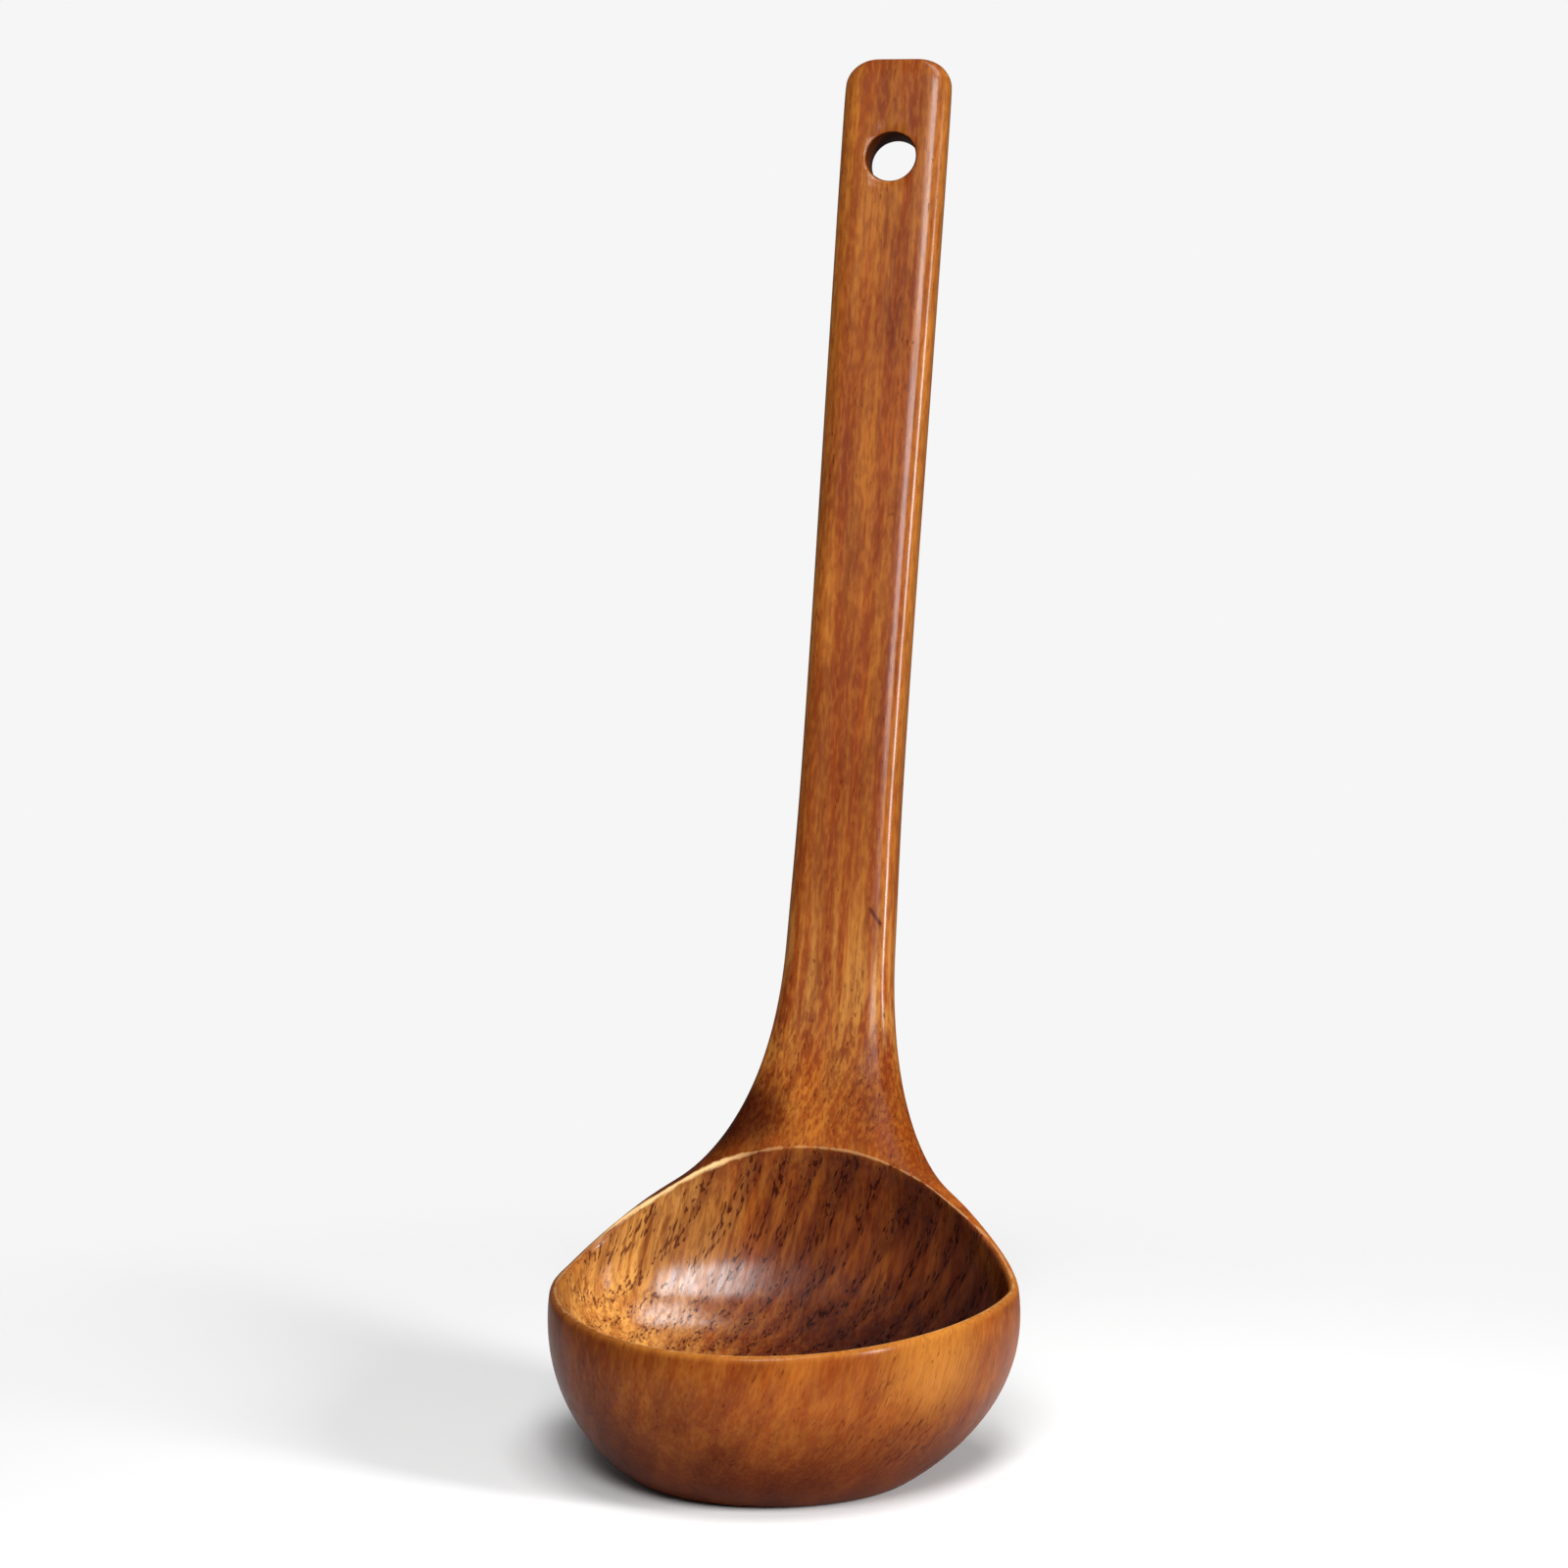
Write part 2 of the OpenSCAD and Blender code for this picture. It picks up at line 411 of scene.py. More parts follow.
# %% [markdown]
# ## The handle: drawing it up
# The open edge at the neck's top is extruded from one level to the next, and at each level it
# is scaled to the width and thickness found above. Since the loop is centred on the handle's
# own line, one factor for Y and Z together changes its thickness. The levels crowd together
# at the top, where the two corners are rounded.

# %% Draw the handle up out of the neck
def loop_centre(loop):
    return up_handle * (neck_top + loop.up) + through * loop.depth


edit(ladle)
print("open edge at the neck's top:", select(ladle, "edges", lambda edge: edge.is_boundary))
for below, here in zip(loops, loops[1:]):
    bpy.ops.mesh.extrude_edges_move(
        TRANSFORM_OT_translate={"value": loop_centre(here) - loop_centre(below)}
    )
    wider, thicker = here.width / below.width, here.thickness / below.thickness
    bpy.ops.transform.resize(value=(wider, thicker, thicker), center_override=loop_centre(here))

# %% Close the top of the handle
end_half_w = loops[-1].width / 2 - level_within


def is_face_side(edge):
    """An edge of the open end along the front or the back, not the short one at either side."""
    return edge.is_boundary and min(abs(corner.co.x) for corner in edge.verts) < end_half_w


print("edges to bridge:", select(ladle, "edges", is_face_side))
bpy.ops.mesh.bridge_edge_loops()
bpy.ops.mesh.select_all(action="SELECT")
bpy.ops.mesh.normals_make_consistent(inside=False)
print("edges still open:", select(ladle, "edges", lambda edge: not edge.is_manifold))
leave()

# %% [markdown]
# ## Smoothing
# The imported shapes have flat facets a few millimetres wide. Real wood was sanded after it
# was carved, so a subdivision surface rounds the facets and the rim. Its levels are kept low
# enough that the mesh stays light.

# %% Subdivide the skin
def apply_modifier(piece, kind, **settings):
    modifier = piece.modifiers.new(kind.title(), kind)
    for name, value in settings.items():
        setattr(modifier, name, value)
    pick(piece)
    bpy.ops.object.modifier_apply(modifier=modifier.name)


apply_modifier(ladle, "SUBSURF", levels=2, render_levels=2)
print("faces after smoothing:", len(ladle.data.polygons))

# %% [markdown]
# ## The hanging hole
# The hole is drilled after the handle is smooth, so that it stays round. The drill is a
# cylinder whose ends flare a little where they leave the wood, and that breaks the sharp
# edge as a countersink would. A boolean modifier takes it out of the skin. Each step of the
# flare says how far it goes outwards and how much wider it gets, in parts of the broken edge.

# %% Turn the drill
hole_r = hole["dims"]["r_mm"] * MM
hole_l = hole["dims"]["length_mm"] * MM
edge_break = 0.35 * MM
flare_steps = ((0.6, 0.25), (0.4, 0.75), (1.0, 1.4))
drill_sides = 96
facing = 0.9

pick(ladle)
bpy.ops.mesh.primitive_cylinder_add(
    vertices=drill_sides, radius=hole_r, depth=hole_l - 2 * edge_break, location=hole_place,
    rotation=through.to_track_quat("Z", "Y").to_euler(),
)
drill = bpy.context.object
drill.name = "drill"
bpy.ops.object.transform_apply(location=True, rotation=True, scale=True)
edit(drill)
for side in (-1, 1):
    for outwards, wider in flare_steps:
        select(drill, "faces", lambda face: face.normal.dot(through) * side > facing)
        bpy.ops.mesh.extrude_region_move(
            TRANSFORM_OT_translate={"value": through * side * outwards * edge_break}
        )
        end = [face for face in bmesh.from_edit_mesh(drill.data).faces if face.select][0]
        middle = sum((corner.co for corner in end.verts), Vector()) / drill_sides
        flare = 1 + wider * edge_break / hole_r
        bpy.ops.transform.resize(value=(flare,) * 3, center_override=middle)
leave()
print("drill, mm:", round_mm(2 * hole_r), "across and", round_mm(hole_l), "deep in the wood")

# %% Drill the hole
apply_modifier(ladle, "BOOLEAN", operation="DIFFERENCE", solver="EXACT", object=drill)
bpy.data.objects.remove(drill)
print("faces with the hole:", len(ladle.data.polygons))

# %% [markdown]
# ## How far each corner lies from the hollow's edge
# The worn line along the edge, which also carries a painted highlight, is under a millimetre wide,
# and the faces on the neck's side are wider than that. A distance stored on the corners stays
# exact between them, so the finish can draw a line of any width from it. Far from the edge the
# exact distance doesn't matter, so it stops at a limit.

# %% Store the distance from the hollow's edge
far_mm = 5.0
skip_beyond = 8 * MM
near_edge = tree_of(edge_line)


def from_edge(point):
    """Distance in mm to the line of the edge, up to the limit."""
    _, index, reach = near_edge.find(point)
    if reach > skip_beyond:
        return far_mm
    middle = edge_line[index]
    for other in (edge_line[index - 1], edge_line[(index + 1) % len(edge_line)]):
        share = (point - middle).dot(other - middle) / (other - middle).length_squared
        reach = min(reach, (point - middle.lerp(other, min(max(share, 0), 1))).length)
    return min(reach / MM, far_mm)


distance = ladle.data.attributes.new("edge_distance", "FLOAT", "POINT")
distance.data.foreach_set("value", [from_edge(corner.co) for corner in ladle.data.vertices])
print("corners within a millimetre of the edge:", sum(d.value < 1 for d in distance.data))

# %% [markdown]
# ## Shading, and what the skin stands for
# Sanded wood shades smoothly except at true edges, and only the edges of the hole turn by
# more than 40 degrees. The skin is the whole ladle, so it takes the place of all three CAD
# parts. The three are one rigid body, and the skin rides on it.

# %% Smooth shading and body
sharpest_smooth = math.radians(40)

pick(ladle)
bpy.ops.object.shade_smooth_by_angle(angle=sharpest_smooth)
places = [corner.co for corner in ladle.data.vertices]
ladle_box = [[furthest(place[i] for place in places) for i in range(3)] for furthest in (min, max)]
print("ladle, mm:", in_mm(ladle_box))

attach(ladle, "root")
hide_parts("bowl", "neck", "handle")


# %% [markdown]
# ## Writing shader sums as Python
# A wood finish is mostly arithmetic on positions. `Amount` wraps a socket so that an
# expression such as `1 - mask * 0.5` adds the Math nodes it needs, and `Finish.node` is the
# one place where any other node is made.

# %% A wrapped socket
class Amount:
    """A number or colour that varies over a surface."""

    def __init__(self, finish, socket):
        self.finish, self.socket = finish, socket

    def __add__(self, other):
        return self.finish.maths("ADD", self, other)

    def __radd__(self, other):
        return self.finish.maths("ADD", other, self)

    def __sub__(self, other):
        return self.finish.maths("SUBTRACT", self, other)

    def __rsub__(self, other):
        return self.finish.maths("SUBTRACT", other, self)

    def __mul__(self, other):
        return self.finish.maths("MULTIPLY", self, other)

    def __rmul__(self, other):
        return self.finish.maths("MULTIPLY", other, self)

    def __truediv__(self, other):
        return self.finish.maths("DIVIDE", self, other)

    def __pow__(self, other):
        return self.finish.maths("POWER", self, other)

    def __neg__(self):
        return self.finish.maths("MULTIPLY", self, -1)


# %% [markdown]
# ## A finish
# A finish keeps a material's nodes and the shader that Blender starts it with. Some nodes
# have several sockets of the same name, one for each kind of value, so their sockets are
# given by number: on the Mix node 0 is the share, 6 and 7 are the two colours, and output 2
# is the mixed colour.

# %% A finish and its nodes
class Finish:
    """The nodes of a material or of the surround."""

    def __init__(self, owner, shader):
        owner.use_nodes = True
        self.owner, self.tree = owner, owner.node_tree
        self.shader = self.tree.nodes[shader]

    def node(self, kind, settings={}, inputs={}, output=0):
        made = self.tree.nodes.new(kind)
        for name, value in settings.items():
            setattr(made, name, value)
        for name, value in inputs.items():
            self.feed(made.inputs[name], value)
        return Amount(self, made.outputs[output])

    def feed(self, socket, value):
        if isinstance(value, Amount):
            self.tree.links.new(value.socket, socket)
        else:
            socket.default_value = value

    def maths(self, operation, *terms):
        return self.node("ShaderNodeMath", {"operation": operation}, dict(enumerate(terms)))

    def shade(self, name, value):
        self.feed(self.shader.inputs[name], value)

    def above(self, value, low, high):
        """0 at low, 1 at high, smooth between and held beyond. Low may be the larger one."""
        return self.node(
            "ShaderNodeMapRange",
            {"interpolation_type": "SMOOTHSTEP", "clamp": True},
            {"Value": value, "From Min": low, "From Max": high},
        )

    def blend(self, share, first, second, kind="MIX"):
        """Goes from the first colour to the second as share goes from 0 to 1."""
        return self.node(
            "ShaderNodeMix",
            {"data_type": "RGBA", "blend_type": kind, "clamp_factor": True},
            {0: share, 6: first, 7: second},
            2,
        )

    def count(self, what):
        print(f"{self.owner.name}, {what}: {len(self.tree.nodes)} nodes so far")


# %% [markdown]
# ## The wood: where each point lies in the grain
# Wood has three directions: along the fibres, across the handle, and through its thickness.
# In the bowl the fibres sweep to one side on their way down, which is why the figure stands
# upright on the handle and leans inside the bowl. All patterns read these three numbers, in
# millimetres, from Object coordinates.

# %% Grain directions
sweep_below = 75  # mm above the ground

wood = Finish(bpy.data.materials.new("lacquered_wood"), "Principled BSDF")
place = wood.node("ShaderNodeTexCoord", output="Object")
place_mm = wood.node("ShaderNodeVectorMath", {"operation": "SCALE"}, {0: place, "Scale": 1 / MM})
split = wood.node("ShaderNodeSeparateXYZ", inputs={0: place_mm})
x, y, z = (Amount(wood, socket) for socket in split.socket.node.outputs)

along = y * up_handle.y + z * up_handle.z
deep = y * through.y + z * through.z
sweep = wood.maths("MAXIMUM", (sweep_below - z) / sweep_below, 0) ** 2
wood.count("grain directions")

# %% [markdown]
# ## The wood: patterns and places
# Every pattern in the wood but the rings is noise drawn out along the fibres: a coarse one
# makes broad bands and a fine one pores. Its shift moves it to another part of the noise, so
# that no two patterns repeat each other. The places where the stain is darker or lighter are
# soft spots and bands, measured in millimetres.

# %% Drawn-out noise, stored marks, spots and bands
def grain(width, length, detail=2.0, shift=0.0, lean=8.0):
    """Noise drawn out along the fibres. Width and length are in mm, lean is the sweep in mm."""
    spot = wood.node(
        "ShaderNodeCombineXYZ",
        inputs={0: (x + sweep * lean) / width + shift, 1: deep / width, 2: along / length},
    )
    return wood.node(
        "ShaderNodeTexNoise", inputs={"Vector": spot, "Scale": 1.0, "Detail": detail}
    )


def mark(name):
    """One of the numbers stored on the skin's corners."""
    return wood.node("ShaderNodeAttribute", {"attribute_name": name}, output=2)


def size_of(value):
    """The value without its sign."""
    return wood.maths("ABSOLUTE", value)


def near(value, middle, reach):
    """1 where a value is at the middle, falling smoothly to 0 at reach to either side."""
    return 1 - wood.above(size_of(value - middle), 0, reach)


def around(where, full, reach):
    """1 within full mm of a place, falling to 0 at reach mm."""
    away = wood.node("ShaderNodeVectorMath", {"operation": "DISTANCE"}, {0: place_mm, 1: where}, 1)
    return 1 - wood.above(away, full, reach)


def layers(colour, *steps, kind="MIX"):
    """Lays tints over a colour one after the other. A step is a share, 0 to 1, and a tint."""
    for share, tint in steps:
        colour = wood.blend(share, colour, (*tint[:3], 1), kind)
    return colour


# %% [markdown]
# ## The wood: its colours
# Four tints go from wood that took little stain to wood that took most, and the two lightest also
# serve for painted light on the bowl. A fifth is bare wood, which also serves for a painted
# highlight. They are chosen as they look on a screen and turned into the linear values that a
# shader works with.

# %% Tints of the wood
def stain(red, green, blue):
    """A colour as seen on a screen, 0 to 255, as the linear colour that a shader takes."""
    return tuple(
        c / 12.92 if c <= 0.04045 else ((c + 0.055) / 1.055) ** 2.4
        for c in (red / 255, green / 255, blue / 255)
    )


pale_honey = stain(198, 142, 72)
honey = stain(172, 110, 42)
amber = stain(142, 70, 22)
chestnut = stain(96, 36, 12)
bare_wood_and_highlight = stain(228, 188, 130)
print("amber as a shader takes it:", [round(c, 3) for c in amber])

# %% [markdown]
# ## The wood: figure
# The figure is laid on from the coarse to the fine: long streaks, broad dark bands, patches
# and growth rings. The outside of the bowl is more even and has clouds of its own, and the
# patches are only on the neck and the handle. In a growth ring the early wood is open and
# takes more stain, so it is darker, and it fades out towards the late wood on both sides.

# %% Where the bowl, its hollow and its outside are
bowl_to, neck_from = 40, 62  # mm above the ground
neck_foot = 60

hollow = mark("hollow")
on_bowl = 1 - wood.above(z, bowl_to, neck_from)
outside = on_bowl * (1 - hollow)
off_hollow = 1 - hollow
wood.count("places")

# %% Growth rings
ring_gap = 5.2  # mm between two rings
ring_sweep = 34  # mm that the rings lean over in the bowl
ring_across, ring_outwards = 0.86, 0.51  # the way across the rings, along X and to the front

wander = grain(14, 60) - 0.5
ring = (x * ring_across - deep * ring_outwards + sweep * ring_sweep) / ring_gap + wander * 2.0
ring_share = wood.maths("FRACT", ring)
early_wood = wood.above(ring_share, 0.25, 0.62) * (1 - wood.above(ring_share, 0.82, 1.0))
wood.count("growth rings")

# %% Streaks, patches and clouds
streaks = wood.above(grain(1.9, 44, detail=3.0, shift=7.0), 0.36, 0.66)
broad = wood.above(grain(9, 50, detail=2.0, shift=11.0), 0.40, 0.62)
patches = wood.above(grain(3.2, 17, detail=3.0, shift=97.0), 0.45, 0.66)
clouds = wood.above(grain(11, 16, detail=3.0, shift=23.0, lean=30.0), 0.42, 0.62)

colour = layers(
    (*amber, 1),
    (streaks * (0.62 - 0.3 * outside), honey),
    (broad * (0.36 - 0.1 * outside), chestnut),
    (patches * (1 - on_bowl) * 0.42, chestnut),
    (early_wood * (0.2 + 0.35 * hollow), chestnut),
    (outside * clouds * 0.45, chestnut),
)
wood.count("figure")

# %% [markdown]
# ## The wood: lighter places
# Streaks on the lower and upper handle took less stain. The bowl's right shoulder and the left
# side of the hollow are made lighter as painted light, where the light from the right falls on
# them. The handle's long edges are lighter partly as wood and partly as a painted highlight, and
# the edge of the rim towards the front is lighter too. The edges of these places are ragged,
# because stain runs along the fibres.

# %% Lighter places
right_shoulder = (32, -18, 26)  # mm, as are the other places
lower_handle, upper_handle = 86, 222  # mm along the handle
edge_from, edge_to = 6.6, 9.2  # mm from the handle's middle
pale_from, pale_to = 90, 120  # mm above the ground
ragged_by = 16  # mm

ragged = (grain(5, 14, detail=3.0, shift=41.0, lean=20.0) - 0.5) * ragged_by
left_side = wood.above(-x + ragged * 0.8, 8, 28)
rim = 1 - wood.above(mark("edge_distance"), 0.5, 1.8)
long_edge = wood.above(size_of(x), edge_from, edge_to) * wood.above(z, pale_from, pale_to)

colour = layers(
    colour,
    # Painted light on the bowl's right shoulder.
    (outside * around(right_shoulder, 2, 17) * 0.7, honey),
    (near(along, lower_handle, 22) * streaks * 0.4, pale_honey),
    (near(along, upper_handle, 50) * streaks * 0.25, honey),
    # Painted light on the left side of the hollow, which faces the light.
    (hollow * left_side * (0.4 + 0.5 * streaks), pale_honey),
    (rim * (1 - wood.above(y, 12, 26)) * 0.55, honey),
    # The handle's long edges: partly lighter wood, partly a painted highlight.
    (long_edge * 0.45, honey),
)
wood.count("lighter places")

# %% [markdown]
# ## The wood: fibres and flecks
# Fine fibres and short flecks are drawn over the lighter places, as the real ones are. They
# are busiest round the foot of the neck, and longer dashes fill the hollow.

# %% Fibres, flecks and dashes
fibres = grain(0.42, 9, detail=2.0, shift=3.0)
flecks = grain(0.62, 2.6, detail=3.0, shift=71.0, lean=14.0)
dashes = grain(0.95, 15, detail=2.0, shift=83.0, lean=12.0)
busy = 0.62 - 0.22 * outside + near(z, neck_foot, 26) * off_hollow * 0.35

colour = layers(
    colour,
    (wood.above(fibres, 0.50, 0.70) * 0.55 * busy, chestnut),
    (wood.above(flecks, 0.47, 0.62) * 0.5 * busy, chestnut),
    (wood.above(flecks, 0.50, 0.36) * 0.3 * busy, honey),
    (hollow * wood.above(dashes, 0.52, 0.64) * 0.5, chestnut),
)
wood.count("fibres and flecks")

# %% [markdown]
# ## The wood: stain and painted shade
# The right side and the floor of the hollow, the underside of the bowl and the left of its outside
# are darkened as painted shade, away from the lights. At the left foot of the neck a pool is
# darker, partly stain and partly painted shade, and the neck's right foot is darkened a little as
# painted shade. Stain gathers in the dark bands of the hollow, and the middle of the handle and a
# streak below its hole are darker stain. The top of the handle is darkened as painted shade. Each
# step multiplies the colour under it, so the figure still shows through: each step below says how
# much of the red, green and blue light passes.

# %% Where the stain and the painted shade go
left_pool, pool_edge, right_foot = (-14, 36, 53), (-22, 33, 47), (16, 36, 56)

# Places of painted shade: the right side and the floor of the hollow, and the underside of the
# bowl.
right_side = wood.above(x + ragged, -22, 8)
far_right = wood.above(x + ragged, 6, 32)
low = 1 - wood.above(z + ragged * 0.5, 4, 22)
floor_right = wood.above(x + ragged, -10, 8) * (1 - wood.above(z, 18, 32))
below_hole = near(x + ragged * 0.15, 2.5, 4.5) * near(along, 212, 32)
wood.count("places of the stain")

# %% Stain and painted shade
colour = layers(
    colour,
    # Painted shade on the right side and the floor of the hollow.
    (hollow * right_side * 0.9, (0.42, 0.30, 0.26)),
    (hollow * far_right * 0.85, (0.50, 0.36, 0.26)),
    (hollow * floor_right * 0.9, (0.42, 0.30, 0.28)),
    (hollow * broad * 0.45, (0.55, 0.42, 0.40)),
    # Painted shade under the bowl and on the left of its outside.
    (outside * low * 0.9, (0.36, 0.24, 0.24)),
    (outside * wood.above(-x + ragged, 4, 32) * 0.8, (0.55, 0.42, 0.42)),
    # A darker pool at the left foot of the neck, partly stain and partly painted shade.
    (off_hollow * around(left_pool, 3, 12), (0.20, 0.13, 0.20)),
    (off_hollow * around(pool_edge, 3, 11) * 0.8, (0.42, 0.30, 0.34)),
    # Painted shade at the neck's right foot.
    (off_hollow * around(right_foot, 3, 18) * 0.9, (0.70, 0.58, 0.5)),
    (near(along, 128, 34) * 0.6, (0.80, 0.70, 0.66)),
    # Painted shade: the top of the handle is made darker.
    (wood.above(along, 150, 185) * 0.9, (0.85, 0.80, 0.78)),
    (below_hole * (0.4 + 0.6 * patches), (0.62, 0.44, 0.40)),
    kind="MULTIPLY",
)
wood.count("stain")

# %% [markdown]
# ## The wood: inside the hanging hole
# The wall of the hole is painted much darker than the handle's face, as painted shade inside the
# hole. It is found by its distance from the hole's middle line.

# %% Painted shade on the wall of the hanging hole
hole_r_mm = hole_r / MM
above_hole = along - hole_place.dot(up_handle) / MM
from_hole = wood.maths("SQRT", x * x + above_hole * above_hole)
in_hole = 1 - wood.above(from_hole, hole_r_mm + 0.05, hole_r_mm + 0.3)
# Painted shade on the wall of the hole.
colour = layers(colour, (in_hole * 0.9, (0.20, 0.14, 0.14)), kind="MULTIPLY")
wood.count("hole")

# %% [markdown]
# ## The wood: pores
# The open pores of the early wood fill with stain and show as short dark dashes, in rows
# along the growth rings. They are thickest in the hollow, low on the bowl's right and at the
# foot of the neck, and rare on the handle.

# %% Pores
bowl_right_low = (26, -22, 13)
few_from, few_to = 74, 90  # mm above the ground, where the neck becomes the handle

pore_noise = grain(0.5, 1.9, detail=1.0, shift=29.0, lean=20.0)
pore_share = early_wood * (0.06 + hollow * 0.10) - hollow * 0.01
pore_share = pore_share + near(z, neck_foot, 16) * 0.03 - outside * 0.03
pore_share = pore_share + outside * around(bowl_right_low, 3, 15) * 0.11
pore_share = pore_share - wood.above(z, few_from, few_to) * 0.05
pores = wood.above(pore_noise + pore_share, 0.68, 0.77)
colour = layers(colour, (pores * (0.6 + 0.3 * hollow), (0.26, 0.14, 0.20)), kind="MULTIPLY")
wood.count("pores")

# %% [markdown]
# ## The wood: worn edge and painted highlight
# Hands and washing have rubbed the edge of the hollow pale, and a painted highlight lies along the
# same line on its rounding; both are strongest at its back left. The line follows the distance
# stored on the corners, and noise makes it look chipped.

# %% Worn edge of the hollow, with a painted highlight
chipped = grain(1.6, 2.4, detail=2.0, shift=53.0) - 0.5
back_left = wood.above(-x, 10, 18) * wood.above(y, 18, 24)
worn_and_highlight = 1 - wood.above(mark("edge_distance") + chipped, 0.15, 0.3 + 0.55 * back_left)
# Partly wear and partly a painted highlight along the hollow's edge.
colour = layers(colour, (worn_and_highlight * (0.18 + 0.75 * back_left), bare_wood_and_highlight))
wood.count("worn edge")

# %% [markdown]
# ## The wood: a knock
# A small dark dent crosses the front of the lower handle, near its right side. It is a short
# stroke: thin one way, longer the other, and only on the front.

# %% Knock on the lower handle
knock_x, knock_along = 6.7, 98.6  # mm
slope_x, slope_along = 0.60, 0.80  # the stroke runs up to the left
behind_front = 24  # mm deep, between the handle's front and its back

beside = x - knock_x
above_it = along - knock_along
from_stroke = size_of(beside * slope_along + above_it * slope_x)
along_stroke = size_of(above_it * slope_along - beside * slope_x)
on_front = 1 - wood.above(deep, behind_front, behind_front + 1)
thin = 1 - wood.above(from_stroke, 0.15, 0.5)
short = 1 - wood.above(along_stroke, 1.4, 2.4)
colour = layers(colour, (thin * short * on_front * 0.9, (0.30, 0.16, 0.20)), kind="MULTIPLY")
wood.count("knock")

# %% [markdown]
# ## The lacquer
# Clear coats lie over the stain, so the gloss is a coat of its own on top of the wood. It is
# thickest in the hollow, thinner on the handle and on the bowl's outside, and almost gone
# under the bowl, at the foot of the neck and at the hollow's far left. The open fibres drink
# it in, which breaks a reflection up into upright streaks. The wood below has a small bump
# from the fibres, streaks and pores, and almost no gloss of its own.

# %% Lacquer
coat_roughness, coat_ior, bare_gloss = 0.19, 1.5, 0.02
relief_depth = 0.05 * MM
dull_height = 58  # mm above the ground, at the foot of the neck

lines = wood.above(grain(0.8, 22, detail=2.0, shift=61.0), 0.42, 0.62)
dull_bowl = outside * (0.26 + 0.15 * low)
dull_neck = near(z, dull_height, 26) * off_hollow * 0.36
dull_left = hollow * wood.above(-x, 24, 32) * 0.9
gloss = (0.46 + 0.54 * hollow - dull_bowl - dull_neck) * (1 - dull_left)
relief = (fibres - 0.5) * 0.8 + streaks * 0.2 - pores * 0.5
bump = wood.node(
    "ShaderNodeBump", inputs={"Strength": 0.4, "Distance": relief_depth, "Height": relief}
)
wood.shade("Base Color", colour)
wood.shade("Roughness", 0.34 + 0.08 * streaks)
wood.shade("Normal", bump)
wood.shade("Specular IOR Level", bare_gloss)
wood.shade("Coat Weight", gloss * (1 - 0.45 * lines - 0.3 * pores) * (1 - 0.8 * in_hole))
wood.shade("Coat Roughness", coat_roughness)
wood.shade("Coat IOR", coat_ior)
ladle.data.materials.append(wood.owner)
wood.count("lacquer")

# %% [markdown]
# ## The floor
# The ladle stands on a plain pale floor. A floor with an edge would show a horizon, so this
# one fades out round the ladle, far enough away to hold its shadow.

# %% Pale floor
floor_r, fade_from, fade_to = 1.6, 0.07, 0.24  # metres
pale_grey = (0.76, 0.76, 0.76, 1)

bpy.ops.object.select_all(action="DESELECT")
bpy.ops.mesh.primitive_circle_add(vertices=96, radius=floor_r, fill_type="NGON")
floor = bpy.context.object
floor.name = "floor"
pale = Finish(bpy.data.materials.new("pale_floor"), "Principled BSDF")
floor_place = pale.node("ShaderNodeTexCoord", output="Object")
reach = pale.node("ShaderNodeVectorMath", {"operation": "LENGTH"}, {0: floor_place}, 1)
pale.shade("Base Color", pale_grey)
pale.shade("Roughness", 0.9)
pale.shade("Specular IOR Level", 0.1)
pale.shade("Alpha", 1 - pale.above(reach, fade_from, fade_to))
floor.data.materials.append(pale.owner)
floor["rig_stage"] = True
pale.count("floor")

# %% [markdown]
# ## The surround
# The surround is bright where the camera sees it and dim where it lights the wood, because a
# bright one would lay an even haze over the lacquer and hide the figure. The Light Path
# node's first output tells the two apart: it is 1 for what the camera sees directly.

# %% Surround
dim, seen_brighter = 0.13, 0.79

scene = bpy.context.scene
scene.view_settings.view_transform = "Standard"
scene.world = bpy.data.worlds.new("surround")
surround = Finish(scene.world, "Background")
surround.shade("Color", (1, 1, 1, 1))
surround.shade("Strength", dim + seen_brighter * surround.node("ShaderNodeLightPath"))
surround.count("background")

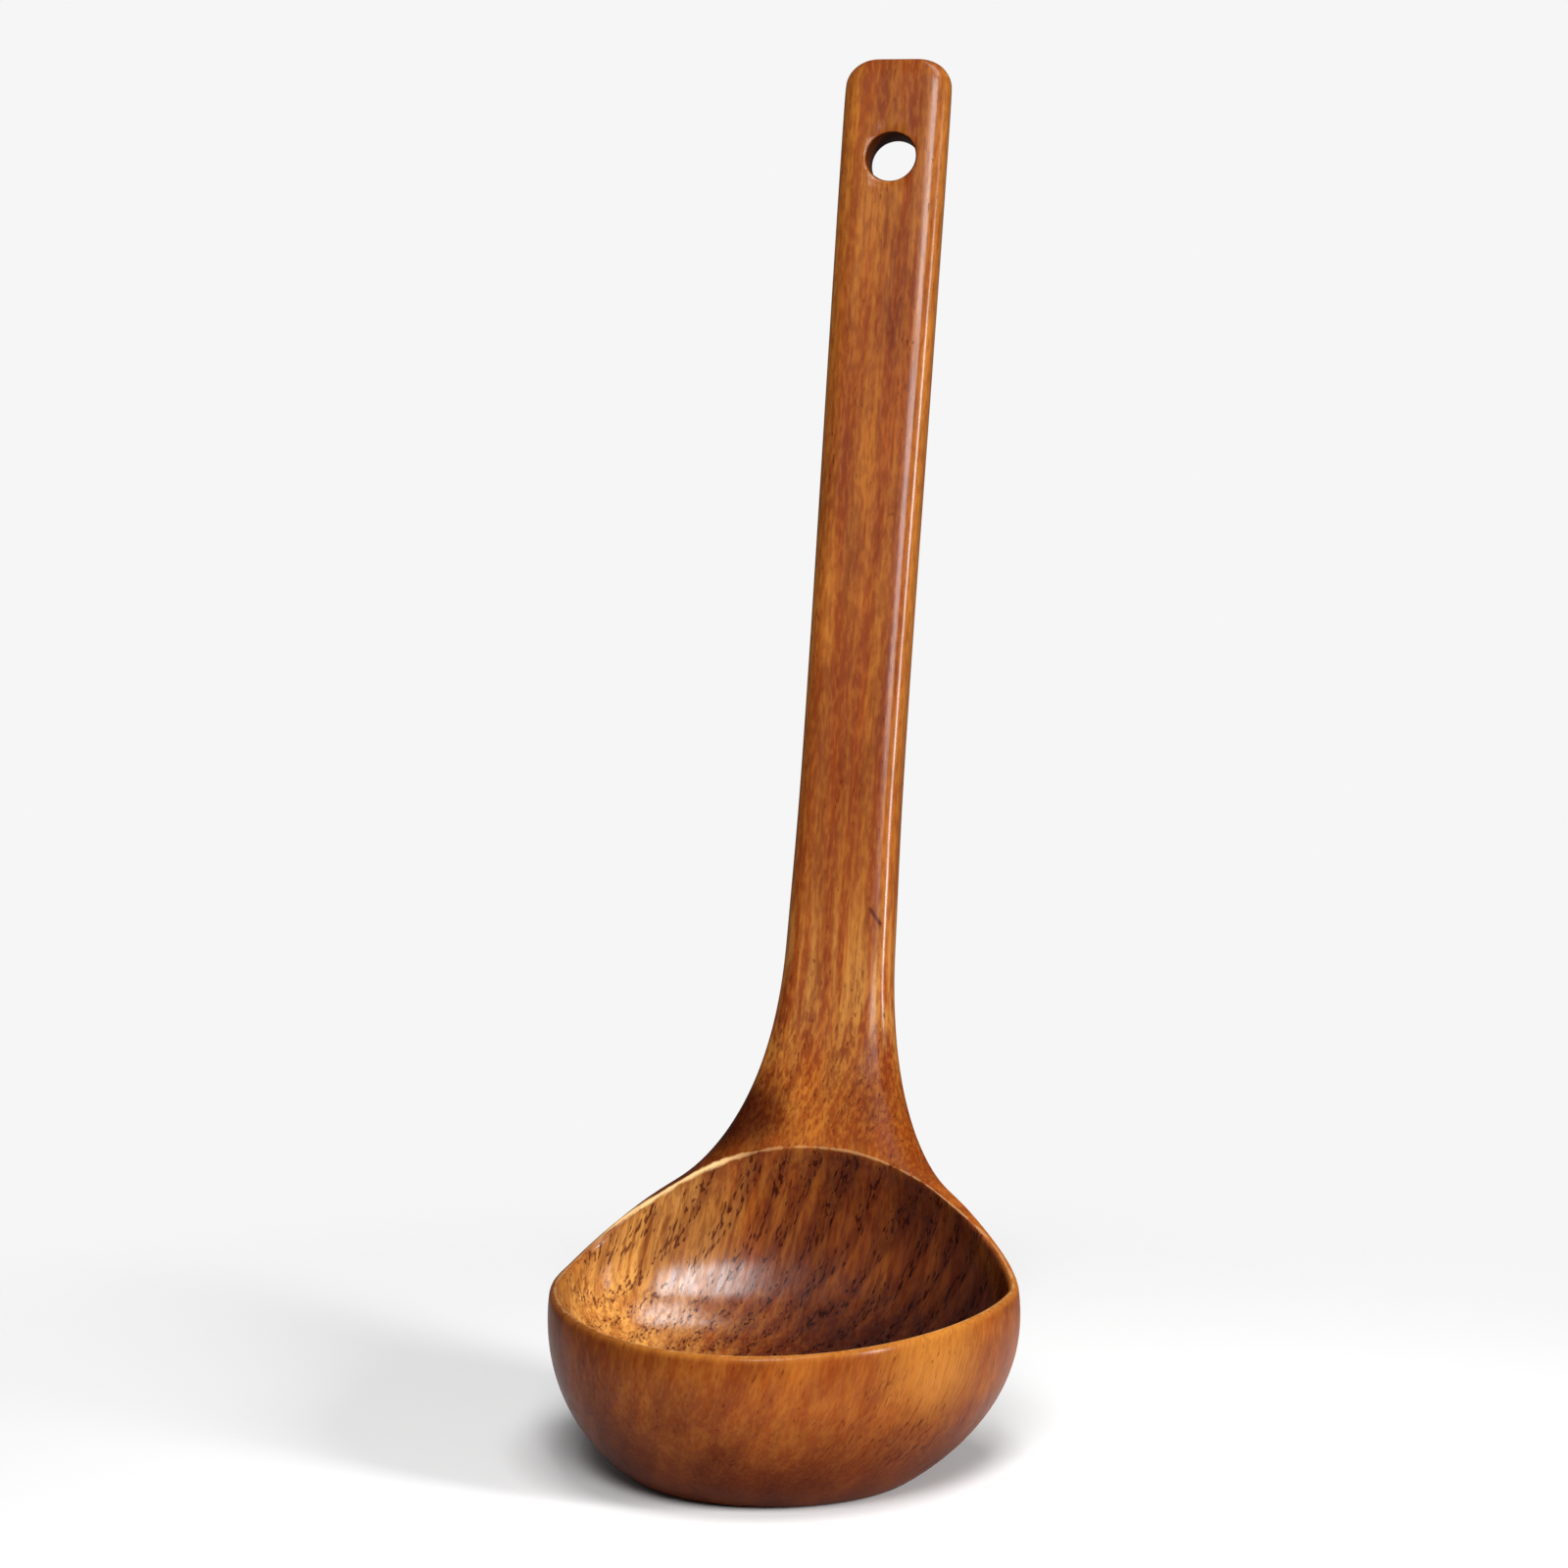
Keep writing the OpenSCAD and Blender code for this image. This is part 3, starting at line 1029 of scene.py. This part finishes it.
# %% [markdown]
# ## The lights
# Three soft lights do what windows would. A square one in front and above lights the whole
# ladle and leaves a soft highlight in the hollow. A smaller one higher up brightens the floor
# and widens that highlight. A tall narrow one to the right draws the bright line down the
# handle's right edge and throws the soft shadow to the left.

# %% Lights
aim = Vector((0, 25, 60)) * MM


def direction(turn, height):
    """Turn is degrees round to the right of the front, height degrees above level."""
    a, e = math.radians(turn), math.radians(height)
    return Vector((math.sin(a) * math.cos(e), -math.cos(a) * math.cos(e), math.sin(e)))


def facing_back(towards):
    """The turn of a light or camera that stands in this direction and looks back."""
    return (-towards).to_track_quat("-Z", "Y").to_euler()


def window(name, turn, height, distance, width, tall, brightness):
    """A soft light that shines on the aim. Sizes and the distance are in metres."""
    towards = direction(turn, height)
    light = bpy.data.lights.new(name, "AREA")
    light.shape, light.size, light.size_y = "RECTANGLE", width, tall
    light.energy = brightness * width * tall * math.pi
    stand = bpy.data.objects.new(name, light)
    scene.collection.objects.link(stand)
    stand.location = aim + towards * distance
    stand.rotation_euler = facing_back(towards)
    stand.visible_camera = False
    print(name, "at, mm:", in_mm([stand.location], 0)[0], round(light.energy, 2), "watts")


window("front_window", 8, 42, 1.2, 0.44, 0.44, 17)
window("top_window", 30, 70, 1.0, 0.38, 0.38, 12)
window("right_window", 68, 20, 1.0, 0.16, 0.44, 46)

# %% [markdown]
# ## The camera
# The camera stands a little to the right of the front and a little above level, near enough
# that the bowl looks larger than the top of the handle.

# %% Camera
camera_turn, camera_height = 13.389, 6.845  # degrees
camera_distance = 813.4 * MM
camera_aim = Vector((-7.3, 39.15, 112.2)) * MM

back = direction(camera_turn, camera_height)
lens = bpy.data.cameras.new("camera")
lens.lens, lens.sensor_width = 106.7, 36
lens.clip_start, lens.clip_end = 0.01, 20
camera = bpy.data.objects.new("camera", lens)
scene.collection.objects.link(camera)
camera.location = camera_aim + back * camera_distance
camera.rotation_euler = facing_back(back)
scene.camera = camera
print("camera at, mm:", in_mm([camera.location], 1)[0])

# %% Compare the sizes and finish
shown_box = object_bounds()
print("cad box, mm:", in_mm(cad_box))
print("shown box, mm:", in_mm(shown_box))
